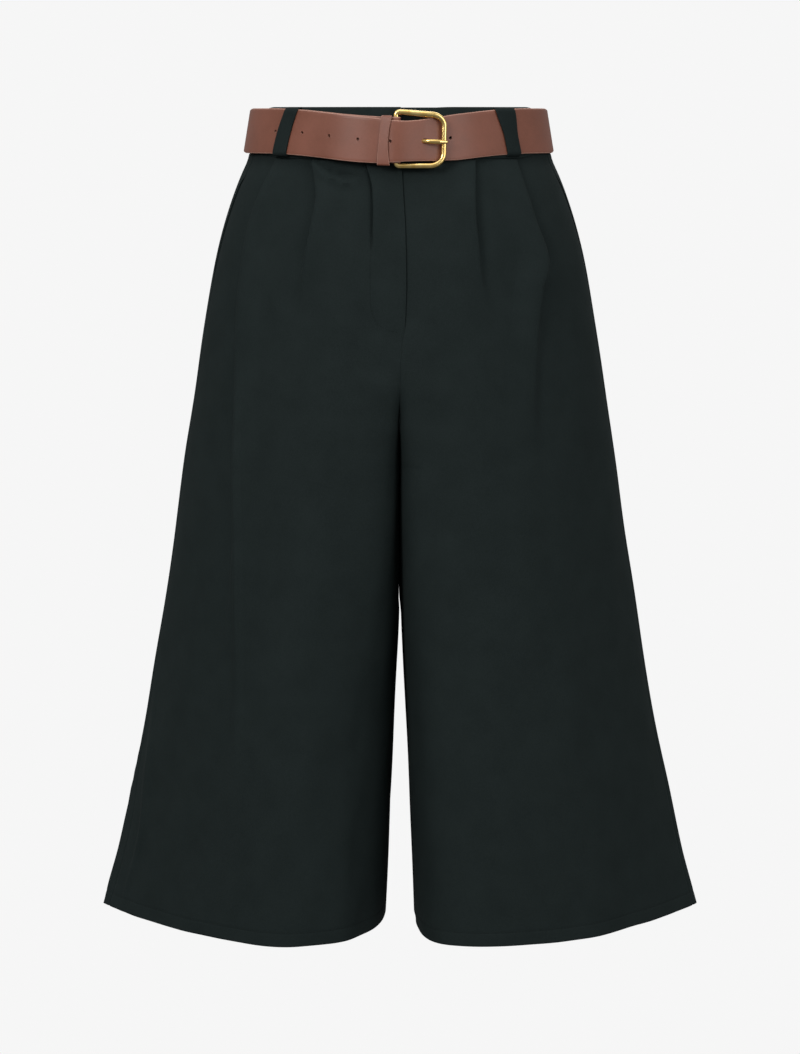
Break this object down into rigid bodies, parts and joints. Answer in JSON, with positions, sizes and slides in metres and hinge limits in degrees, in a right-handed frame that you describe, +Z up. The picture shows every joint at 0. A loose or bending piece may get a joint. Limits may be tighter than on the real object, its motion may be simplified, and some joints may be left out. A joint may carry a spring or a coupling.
{
  "type": "bermuda shorts with a belt",
  "caption": "High-waisted, pleated, wide-leg bermuda shorts filled out with no wearer, with a narrow waistband and a leather belt fastened by a brass heel-bar buckle.",
  "frame": {"origin": "middle of the waist opening, halfway up the 42 mm waistband, where a waist holds the garment", "axes": "+Z up, the front faces -Y, the wearer's left is +X"},
  "size_m": [0.518, 0.2755, 0.6866],
  "materials": {
    "cloth": "dark green-black matt crepe",
    "pocket_cloth": "the same cloth, seen in the pocket mouths",
    "leather": "smooth brown leather with paler cut edges",
    "brass": "polished brass"
  },
  "bodies": {
    "root": {"right_front": "cloth", "left_front": "cloth", "right_back": "cloth", "left_back": "cloth", "right_pocket": "pocket_cloth", "left_pocket": "pocket_cloth", "waistband": "cloth", "loop_right_front": "cloth", "loop_left_front": "cloth", "loop_right_back": "cloth", "loop_left_back": "cloth", "loop_centre_back": "cloth", "belt_strap": "leather", "belt_keeper": "leather", "buckle_frame": "brass", "buckle_prong": "brass"}
  },
  "joints": []
}
